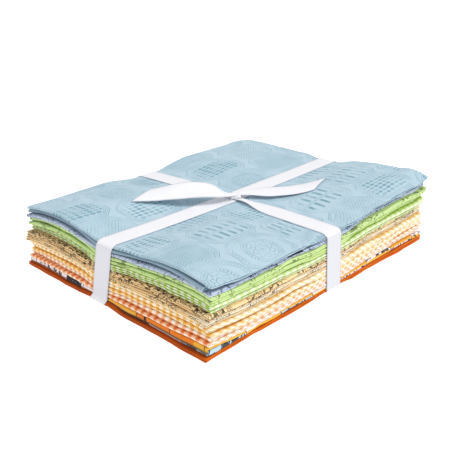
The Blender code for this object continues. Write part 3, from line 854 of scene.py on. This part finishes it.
finishes = {
    "orange_plain": (plainPrint, {
        "full": "D46200", "half": "DE6E02", "deep": (0.5, 0.3, 0.2), "sheen": 0.03,
    }),
    "amber_print": (patchPrint, {
        "patch": (31.0, 27.0), "start": -7.358, "rowShift": 0.37, "turned": 256.0, "outline": (0.55, 0.6),
        "amber": "F8BC3C", "amberAt": 352.9, "amberReach": 10.0,
        "warm": ((0.0, "F08A1C"), (0.4, "F29424"), (0.62, "EE7A18"), (0.85, "F9BE40")),
        "cool": ((0.0, "FAF4F8"), (0.5, "F8EAF0"), (0.72, "BFDCEE"), (0.9, "24262C")),
        "ink": "1E1F24", "strength": 0.94, "deep": (0.8, 0.62, 0.5),
        "dark": "1E1F24", "dash": (6.0, 18.0), "dashStep": onceOnly,
        "dashPlace": (-0.2482, -0.209), "dashBare": 0.34,
    }),
    "blue_rule": (rulePrint, {
        "full": "9DB8C9", "half": "B2C9D6", "ink": "4F7390", "deep": blueShadeTint,
        "period": 1.5, "strength": 0.6,
    }),
    "blue_medallion": (medallionPrint, {
        "full": "B6D0DE", "half": "C2D9E5", "ink": "4F8FA3", "place": (13, 9, 0), "panel": (46.0, 34.0),
        "rowShift": 0.37, "corner": 8.0, "line": 0.42, "strength": 0.72, "tone": 0.14, "deep": blueShadeTint,
    }),
}
for slot, row in checks.items():
    finishes[slot] = (checkPrint, dict(gingham, **row._asdict()))
for slot, row in lineArt.items():
    look = dict(row._asdict(), **lineArtExtras.get(slot, {}))
    finishes[slot] = (dashPrint if "dash" in look else lineArtPrint, look)

print("finishes ready")

level = 0.0
cloths, frayed = {}, {}
for number, row in enumerate(cuts, 1):
    piece, frayed[row.node] = foldedCut(number, row, level)
    level += row.runs * stack["pitch"]
    printer, look = finishes[row.slot]
    piece.data.materials.append(clothMaterial(row.slot + "_cotton", printer, look))
    cloths[row.node] = piece
print("folded cuts:", len(cloths), "faces:", sum(len(p.data.polygons) for p in cloths.values()))

# Loose yarn ends along the raw edges: how far apart, how long and thick, and the share that is left
yarn = {
    "Spacing": 2.1 * mm, "Length": 1.5 * mm, "Radius": 0.075 * mm, "Kept": 0.58, "Lean": 0.45, "Seed": 11,
}
yarnFloor, yarnPress = 0.2 * mm, 0.05  # yarn that would go lower keeps only this share of its depth


# Geometry Nodes: bent yarns set out along the edge lines, each leaning its own way.
def yarnTree():
    tree = bpy.data.node_groups.new("yarn_ends", "GeometryNodeTree")
    kinds = {"Geometry": "NodeSocketGeometry", "Seed": "NodeSocketInt", "Material": "NodeSocketMaterial"}
    for name in ("Geometry", *yarn, "Material"):
        tree.interface.new_socket(name, in_out="INPUT", socket_type=kinds.get(name, "NodeSocketFloat"))
    tree.interface.new_socket("Geometry", in_out="OUTPUT", socket_type="NodeSocketGeometry")
    group = addNode(tree, "NodeGroupInput").outputs
    given = {socket.name: Value(tree, socket) for socket in group if socket.name}

    def made(kind, inputs, key=0, **settings):
        return outputOf(tree, kind, inputs, key, **settings)

    def stored(name, kind):
        return made("GeometryNodeInputNamedAttribute", {"Name": name}, data_type=kind)

    def chance(low, high, shift):
        inputs = {2: low, 3: high, "Seed": given["Seed"] + shift}
        return made("FunctionNodeRandomValue", inputs, 1, data_type="FLOAT")

    def vector(x=0.0, y=0.0, z=0.0):
        return made("ShaderNodeCombineXYZ", {0: x, 1: y, 2: z})

    lines = made("GeometryNodeMeshToCurve", {0: given["Geometry"]})
    places = made("GeometryNodeCurveToPoints", {"Curve": lines, "Length": given["Spacing"]}, mode="LENGTH")
    gone = chance(0.0, 1.0, 1) > given["Kept"] * stored("free", "FLOAT")
    places = made("GeometryNodeDeleteGeometry", {"Geometry": places, "Selection": gone}, domain="POINT")
    long = given["Length"]
    path = made("GeometryNodeCurveQuadraticBezier", {
        "Resolution": 3, "Start": vector(z=long * -0.25), "Middle": vector(z=long * 0.6),
        "End": vector(x=long * 0.5, z=long),
    })
    outline = made("GeometryNodeCurvePrimitiveCircle", {"Resolution": 3, "Radius": given["Radius"]})
    single = made("GeometryNodeCurveToMesh", {"Curve": path, "Profile Curve": outline, "Fill Caps": True})
    sway = vector(*(chance(-1.0, 1.0, shift) * given["Lean"] for shift in (2, 3, 4)))
    ahead = vectorMath(stored("out", "FLOAT_VECTOR"), "ADD", sway)
    ends = made("GeometryNodeInstanceOnPoints", {
        "Points": places, "Instance": single, "Scale": chance(0.5, 1.5, 5),
        "Rotation": made("FunctionNodeAlignRotationToVector", {"Vector": ahead}, axis="Z"),
    })
    turn = vector(z=chance(0.0, tau, 6))
    ends = made("GeometryNodeRotateInstances", {"Instances": ends, "Rotation": turn})
    ends = made("GeometryNodeRealizeInstances", {0: ends})
    ends = made("GeometryNodeSetMaterial", {"Geometry": ends, "Material": given["Material"]})
    addNode(tree, "NodeGroupOutput", {0: ends})
    return tree


# The raw edges of one cut as lines, with what the yarn ends need at each place.
def edgeLines(name, edges):
    points, out, free = (np.concatenate(parts) for parts in zip(*edges))
    out = out / np.linalg.norm(out, axis=1, keepdims=True)
    starts = np.cumsum([0] + [len(edge[0]) for edge in edges])
    pairs = [(k, k + 1) for first, end in zip(starts, starts[1:]) for k in range(first, end - 1)]
    mesh = bpy.data.meshes.new(name)
    mesh.from_pydata((points * mm).tolist(), pairs, [])
    values = out.astype(np.float32).ravel()
    mesh.attributes.new("out", "FLOAT_VECTOR", "POINT").data.foreach_set("vector", values)
    mesh.attributes.new("free", "FLOAT", "POINT").data.foreach_set("value", free.astype(np.float32))
    return addObject(name, mesh)


def yarnEnds(row, tree, number):
    lines = edgeLines(row.node.replace("cut_", "edge_"), frayed[row.node])
    look = finishes[row.slot][1]
    thread = look.get("weft") or look.get("half") or "F0E2D8"
    material = newFinish(row.slot + "_yarn", {
        "Base Color": colour(thread), "Roughness": 0.9, "Specular IOR Level": 0.2,
    })
    values = dict(yarn, Seed=yarn["Seed"] + 10 * number, Material=material)
    modifier = lines.modifiers.new("yarn ends", "NODES")
    modifier.node_group = tree
    for socket in tree.interface.items_tree:
        if socket.in_out == "INPUT" and socket.name in values:
            modifier[socket.identifier] = values[socket.name]
    graph = bpy.context.evaluated_depsgraph_get()
    evaluated = lines.evaluated_get(graph)
    mesh = bpy.data.meshes.new_from_object(evaluated, preserve_all_data_layers=True, depsgraph=graph)
    spots = np.zeros(len(mesh.vertices) * 3, np.float32)
    mesh.vertices.foreach_get("co", spots)
    low = spots[2::3] - yarnFloor
    spots[2::3] = yarnFloor + np.where(low < 0, low * yarnPress, low)
    mesh.vertices.foreach_set("co", spots)
    mesh.update()
    lines.modifiers.clear()
    bpy.data.objects.remove(lines)
    return addObject(row.node.replace("cut_", "yarns_"), mesh)


endsTree = yarnTree()
yarns = {row.node: yarnEnds(row, endsTree, number) for number, row in enumerate(cuts, 1)}
print("yarn ends:", len(yarns), "faces:", sum(len(p.data.polygons) for p in yarns.values()))


# Ribbon: two turns round the stack, a flat knot and two free ends, each a thin satin band
ribbon = {
    "width": 15.0, "thick": 0.3, "lift": 0.42, "across": 13, "step": 3.5, "cornerSteps": 7,
    "underLong": 0.22, "underCross": 0.58,
    "crossing": (0.45, -2.0, 8.0, 6.0), "curl": (1.9, -17.0, 9.0),  # height, place and reach
    "gatheredFront": (6.0, 44.0, 4.6), "gatheredBack": (7.0, 42.0, 6.0),  # from, to, narrowest width
    "pleats": 2.5, "pleatHeight": 0.9, "bow": 0.5, "flat": (0.015, 1.2),
}
knot = {"place": (-3.0, -5.0), "turn": -38.0, "reach": 3.9, "rise": 1.7, "wide": 6.4, "lift": 2.1}
# x, y, lift of the left and right edges over the cloth, width; then how far each edge is cut
leftEnd = (
    (-1.5, -6.0, 2.6, 2.6, 3.6), (-5.0, -4.9, 3.2, 3.4, 4.6), (-10.5, -3.0, 4.4, 5.4, 9.0),
    (-18.0, 0.8, 6.6, 10.6, 14.4), (-27.0, 7.4, 7.4, 13.0, 15.0), (-37.0, 17.0, 5.6, 12.0, 15.0),
    (-46.5, 26.5, 2.6, 8.2, 15.0), (-54.5, 35.0, 0.9, 4.9, 15.0),
)
rightEnd = (
    (-4.5, -4.0, 2.8, 2.8, 3.6), (1.0, -6.6, 3.2, 3.0, 4.6), (8.0, -12.0, 4.0, 3.2, 9.0),
    (16.5, -19.5, 4.2, 2.6, 13.8), (27.0, -27.5, 2.8, 1.8, 15.0), (38.5, -33.5, 1.4, 1.0, 15.0),
    (50.0, -37.5, 0.8, 0.8, 15.0),
)
leftCut = (7.0, -5.0)
rightCut = (12.0, -8.0)


# A thin closed sheet round the middle surface given by rows of points.
def shell(rows, closed):
    count, across = rows.shape[:2]
    ahead = np.roll(rows, -1, 0) - np.roll(rows, 1, 0) if closed else np.gradient(rows, axis=0)
    normal = np.cross(np.gradient(rows, axis=1), ahead)
    normal /= np.maximum(np.linalg.norm(normal, axis=2, keepdims=True), 1e-9)
    upper = rows + normal * ribbon["thick"] / 2
    lower = rows - normal * ribbon["thick"] / 2
    points = np.concatenate([upper, lower[:, ::-1]], axis=1).reshape(-1, 3)
    share = np.concatenate([np.linspace(0, 1, across), np.linspace(1, 0, across)])
    middle = rows[:, across // 2]
    along = np.concatenate([[0], np.cumsum(np.linalg.norm(np.diff(middle, axis=0), axis=1))])
    flat = np.broadcast_arrays(share[None] * ribbon["width"] * mm, along[:, None] * mm)
    uv = np.stack(flat, -1).reshape(-1, 2)
    # Painted shade: where the band is steep, over the stack's sides, its colour is made darker through the
    # side attribute.
    steep = 1 - np.abs(normal[..., 2])
    side = ease((np.concatenate([steep, steep[:, ::-1]], axis=1).reshape(-1) - 0.35) / 0.5)
    return points, outward(points, ringQuads(count, across * 2, closed)), uv, side


# Laid places (along, level) of one turn, clockwise from the left end of the top.
def turnLoop(half):
    clear = ribbon["lift"]
    top, low = stack["cornerTop"], stack["cornerLow"]
    steps = int(2 * half / ribbon["step"])
    loop = [(s, stackHeight + clear) for s in np.linspace(top - half, half - top, steps)[1:-1]]
    for quarter in range(4):
        own = top if quarter in (0, 3) else low
        radius = own + clear
        centre = half - own if quarter < 2 else own - half
        level = stackHeight - own if quarter in (0, 3) else own
        for step in range(ribbon["cornerSteps"] + 1):
            angle = math.pi / 2 * (quarter + step / ribbon["cornerSteps"])
            loop.append((centre + radius * math.sin(angle), level + radius * math.cos(angle)))
        side = np.linspace(stackHeight - top, low, 20)[1:-1]
        if quarter == 0:
            loop += [(centre + radius, s) for s in side]
        if quarter == 1:
            loop += [(-s, -clear) for s in np.linspace(low - half, half - low, steps)[1:-1]]
        if quarter == 2:
            loop += [(centre - radius, s) for s in side[::-1]]
    return np.array(loop)


# Width of the cross turn over the top. It is gathered in towards the knot.
def gathered(y):
    width = np.full(y.shape, ribbon["width"])
    for side, (start, end, narrow) in ((-1, ribbon["gatheredFront"]), (1, ribbon["gatheredBack"])):
        share = ease((side * y - start) / (end - start)) ** 0.8
        width = np.where(side * y >= 0, narrow + (ribbon["width"] - narrow) * share, width)
    return width


# How high the gathered band stands in its pleats.
def pleated(squeeze, across):
    wave = 0.5 - 0.5 * np.cos(tau * ribbon["pleats"] * (across + 0.5))
    return squeeze * ribbon["pleatHeight"] * wave


def bandTurn(half, alongX, under):
    loop = turnLoop(half)
    along, level = loop[:, 0:1], loop[:, 1:2]
    across = np.linspace(-0.5, 0.5, ribbon["across"])[None]
    onTop = level > stackHeight
    width = np.full(along.shape, ribbon["width"])
    if not alongX:
        width = np.where(onTop, gathered(along), width)
    aside = across * width
    x, y = (along + aside * 0, aside) if alongX else (aside, along + aside * 0)
    levels = level + x * 0
    points = settle(x, y, levels)
    points[..., 0] -= stack["lowOut"] * nearFloor(levels) * ease((-x - half + 14) / 10) * alongX
    low = stack["cornerLow"]
    share = (low - levels) / (low + ribbon["lift"])
    hung = between(heightAt(x, y, levels * 0 + low), under, clamp(share))
    points[..., 2] = np.where(levels < low, hung, points[..., 2])
    if not alongX:
        squeeze = (1 - width / ribbon["width"]) * onTop
        high, at, start, reach = ribbon["crossing"]
        crossing = high * (1 - ease((np.abs(along - at) - start) / reach)) * onTop
        high, at, reach = ribbon["curl"]
        curl = high * ease((-across - 0.1) / 0.4) * np.exp(-(((along - at) / reach) ** 2)) * onTop
        points[..., 2] += pleated(squeeze, across) + crossing + curl
    return shell(points, True)


# The rows of a table with smooth steps between them.
def smoothRows(table, count):
    rows = np.array(table, float)
    ends = np.concatenate([[2 * rows[0] - rows[1]], rows, [2 * rows[-1] - rows[-2]]])
    out = []
    for t in np.linspace(0, len(rows) - 1, count):
        i = min(int(t), len(rows) - 2)
        f = t - i
        a, b, c, d = ends[i:i + 4]
        smooth = 2 * b + (c - a) * f + (2 * a - 5 * b + 4 * c - d) * f**2
        out.append(0.5 * (smooth + (3 * b - a - 3 * c + d) * f**3))
    return np.array(out)


# One free end, from inside the knot to its slanting cut.
def freeEnd(table, cutShort, count):
    rows = smoothRows(table, count)
    ahead = np.gradient(rows[:, :2], axis=0)
    ahead /= np.linalg.norm(ahead, axis=1, keepdims=True)
    left = np.stack([-ahead[:, 1], ahead[:, 0]], -1)
    across = np.linspace(0.5, -0.5, ribbon["across"])  # from the left edge to the right one
    reach = np.interp(across, (-0.5, 0.5), (cutShort[1], cutShort[0]))
    last = np.linspace(0, 1, count) ** 3
    plan = rows[:, None, :2] + left[:, None] * (across[None, :, None] * rows[:, None, 4:5])
    plan = plan + ahead[:, None] * (reach[None, :, None] * last[:, None, None])
    lift = rows[:, 2:3] * (across + 0.5) + rows[:, 3:4] * (0.5 - across)
    squeeze = 1 - rows[:, 4:5] / ribbon["width"]
    bow = ribbon["bow"] * (1 - (2 * across) ** 2) * (1 - squeeze)
    lift = lift + pleated(squeeze, across) + bow
    z = topCloth(plan[..., 0], plan[..., 1]) + np.maximum(lift, ribbon["lift"] + 0.1)
    return shell(np.concatenate([plan, z[..., None]], -1), False)


# The part of the ribbon that wraps the crossing, flat and a little waisted.
def knotWrap():
    around = np.linspace(0, tau, 28, endpoint=False)[:, None]
    across = np.linspace(-0.5, 0.5, ribbon["across"])[None]
    waist = 1 - 0.22 * np.cos(tau * across / 1.15) + 0.07 * np.cos(tau * 3 * across + 1.3 * np.sin(around))
    out = knot["reach"] * np.cos(around) * waist
    up = knot["rise"] * np.sin(around) * waist
    along = knot["wide"] * across * (1 + 0.16 * np.cos(around * 2)) + 0.5 * np.sin(around + 0.6)
    turn = math.radians(knot["turn"])
    x = knot["place"][0] + along * math.cos(turn) - out * math.sin(turn)
    y = knot["place"][1] + along * math.sin(turn) + out * math.cos(turn)
    z = topCloth(np.array(knot["place"][0]), np.array(knot["place"][1])) + knot["lift"] + up
    return shell(np.stack([x, y, z], -1), True)


bandsMade = [
    bandTurn(halfX, True, ribbon["underLong"]),
    bandTurn(halfY, False, ribbon["underCross"]),
    freeEnd(leftEnd, leftCut, 46),
    freeEnd(rightEnd, rightCut, 40),
    knotWrap(),
]
points, quads, uv, side = zip(*bandsMade)
offsets = np.cumsum([0] + [len(part) for part in points[:-1]])
quads = [part + offset for part, offset in zip(quads, offsets)]
points, quads, uv, side = (np.concatenate(parts) for parts in (points, quads, uv, side))
tie = buildMesh("ribbon_satin", points, quads, uv, {"side": side})


satin = {
    # side is the darker colour of the painted shade on the ribbon's steep parts
    "ground": ("F2F2F8", "FBFBFE"), "edge": "DAD9E6", "edgeTone": 0.35, "side": "DCDCE4",
    "selvedge": 0.55, "floats": (5.0, 0.35, 1), "floatHeight": 0.8, "rib": 0.8,
    "bump": 0.25, "bumpHeight": 0.1 * mm,
}


# White satin: floats along the ribbon, a woven edge, a soft gloss and painted shade on its steep parts.
def satinMaterial():
    material = newFinish("ribbon_satin", {
        "Roughness": 0.42, "Specular IOR Level": 0.45, "Sheen Weight": 0.3, "Sheen Roughness": 0.3,
    })
    tree = material.node_tree
    place = clothPlace(tree)
    u, v = split(place)
    selvedge = 1.0 - above(u.math("MINIMUM", ribbon["width"] - u), satin["selvedge"], 0.15)
    floats = noise(moved(place, scale=satin["floats"]), 1.0)
    ground = mixColour(noise(place, 0.06), *satin["ground"])
    ground = mixColour(selvedge * satin["edgeTone"], ground, satin["edge"])
    # Painted shade on the steep parts of the band
    sided = mixColour(attribute(tree, "side"), ground, satin["side"])
    raised = selvedge * sine(v, satin["rib"]) + floats * satin["floatHeight"]
    connect(sided, raised, satin["bump"], satin["bumpHeight"])
    return material


tie.data.materials.append(satinMaterial())
print("ribbon faces:", len(tie.data.polygons))

# What each piece is
for row in cuts:
    piece = cloths[row.node]
    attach(piece, "root")
    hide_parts(row.node)
    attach(yarns[row.node], "root")
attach(tie, "root")
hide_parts("ribbon")

# Floor, light and camera. Each light has its strength, where it comes from and its width in degrees.
studio = {
    "floor": 12.0, "floorGlow": 0.85, "world": 0.49, "sensor": 36.0, "lens": 722.6 / 450 * 36,
    "key": (1.68, (0.55, -1.0, 1.4), 25), "fill": (0.7, (-1.0, 0.35, 1.1), 50),
    "azimuth": -46.37, "elevation": 23.26, "place": (0.5362, -0.00576, 0.01956),
}
reach = studio["floor"] / 2
floorMesh = bpy.data.meshes.new("floor")
floorCorners = [(-reach, -reach, 0), (reach, -reach, 0), (reach, reach, 0), (-reach, reach, 0)]
floorMesh.from_pydata(floorCorners, [], [(0, 1, 2, 3)])
floorMesh.materials.append(newFinish("floor_white", {
    "Base Color": (0.4, 0.4, 0.4, 1), "Roughness": 0.9, "Specular IOR Level": 0.1,
    "Emission Color": (1, 1, 1, 1), "Emission Strength": studio["floorGlow"],
}))
floor = addObject("floor", floorMesh)

world = bpy.data.worlds.new("studio")
bpy.context.scene.world = world
world.use_nodes = True
sky = world.node_tree.nodes["Background"].inputs
sky["Color"].default_value = (1, 1, 1, 1)
sky["Strength"].default_value = studio["world"]
for name in ("key", "fill"):
    energy, direction, wide = studio[name]
    sun = bpy.data.lights.new(name, "SUN")
    sun.energy, sun.angle = energy, math.radians(wide)
    addObject(name, sun).rotation_euler = Vector(direction).to_track_quat("Z", "Y").to_euler()

azimuth, elevation = math.radians(studio["azimuth"]), math.radians(studio["elevation"])
level = math.cos(elevation)
back = Vector((math.sin(azimuth) * level, -math.cos(azimuth) * level, math.sin(elevation)))
right = Vector((math.cos(azimuth), math.sin(azimuth), 0))
up = back.cross(right)
eye = back * studio["place"][0] + right * studio["place"][1] + up * studio["place"][2]
cameraData = bpy.data.cameras.new("camera")
cameraData.sensor_width = studio["sensor"]
cameraData.lens = studio["lens"]
cameraData.clip_start = 0.01
camera = addObject("camera", cameraData)
camera.matrix_world = Matrix((
    (right.x, up.x, back.x, eye.x), (right.y, up.y, back.y, eye.y),
    (right.z, up.z, back.z, eye.z), (0, 0, 0, 1),
))
bpy.context.scene.camera = camera
bpy.context.scene.view_settings.view_transform = "Standard"
print("studio ready")
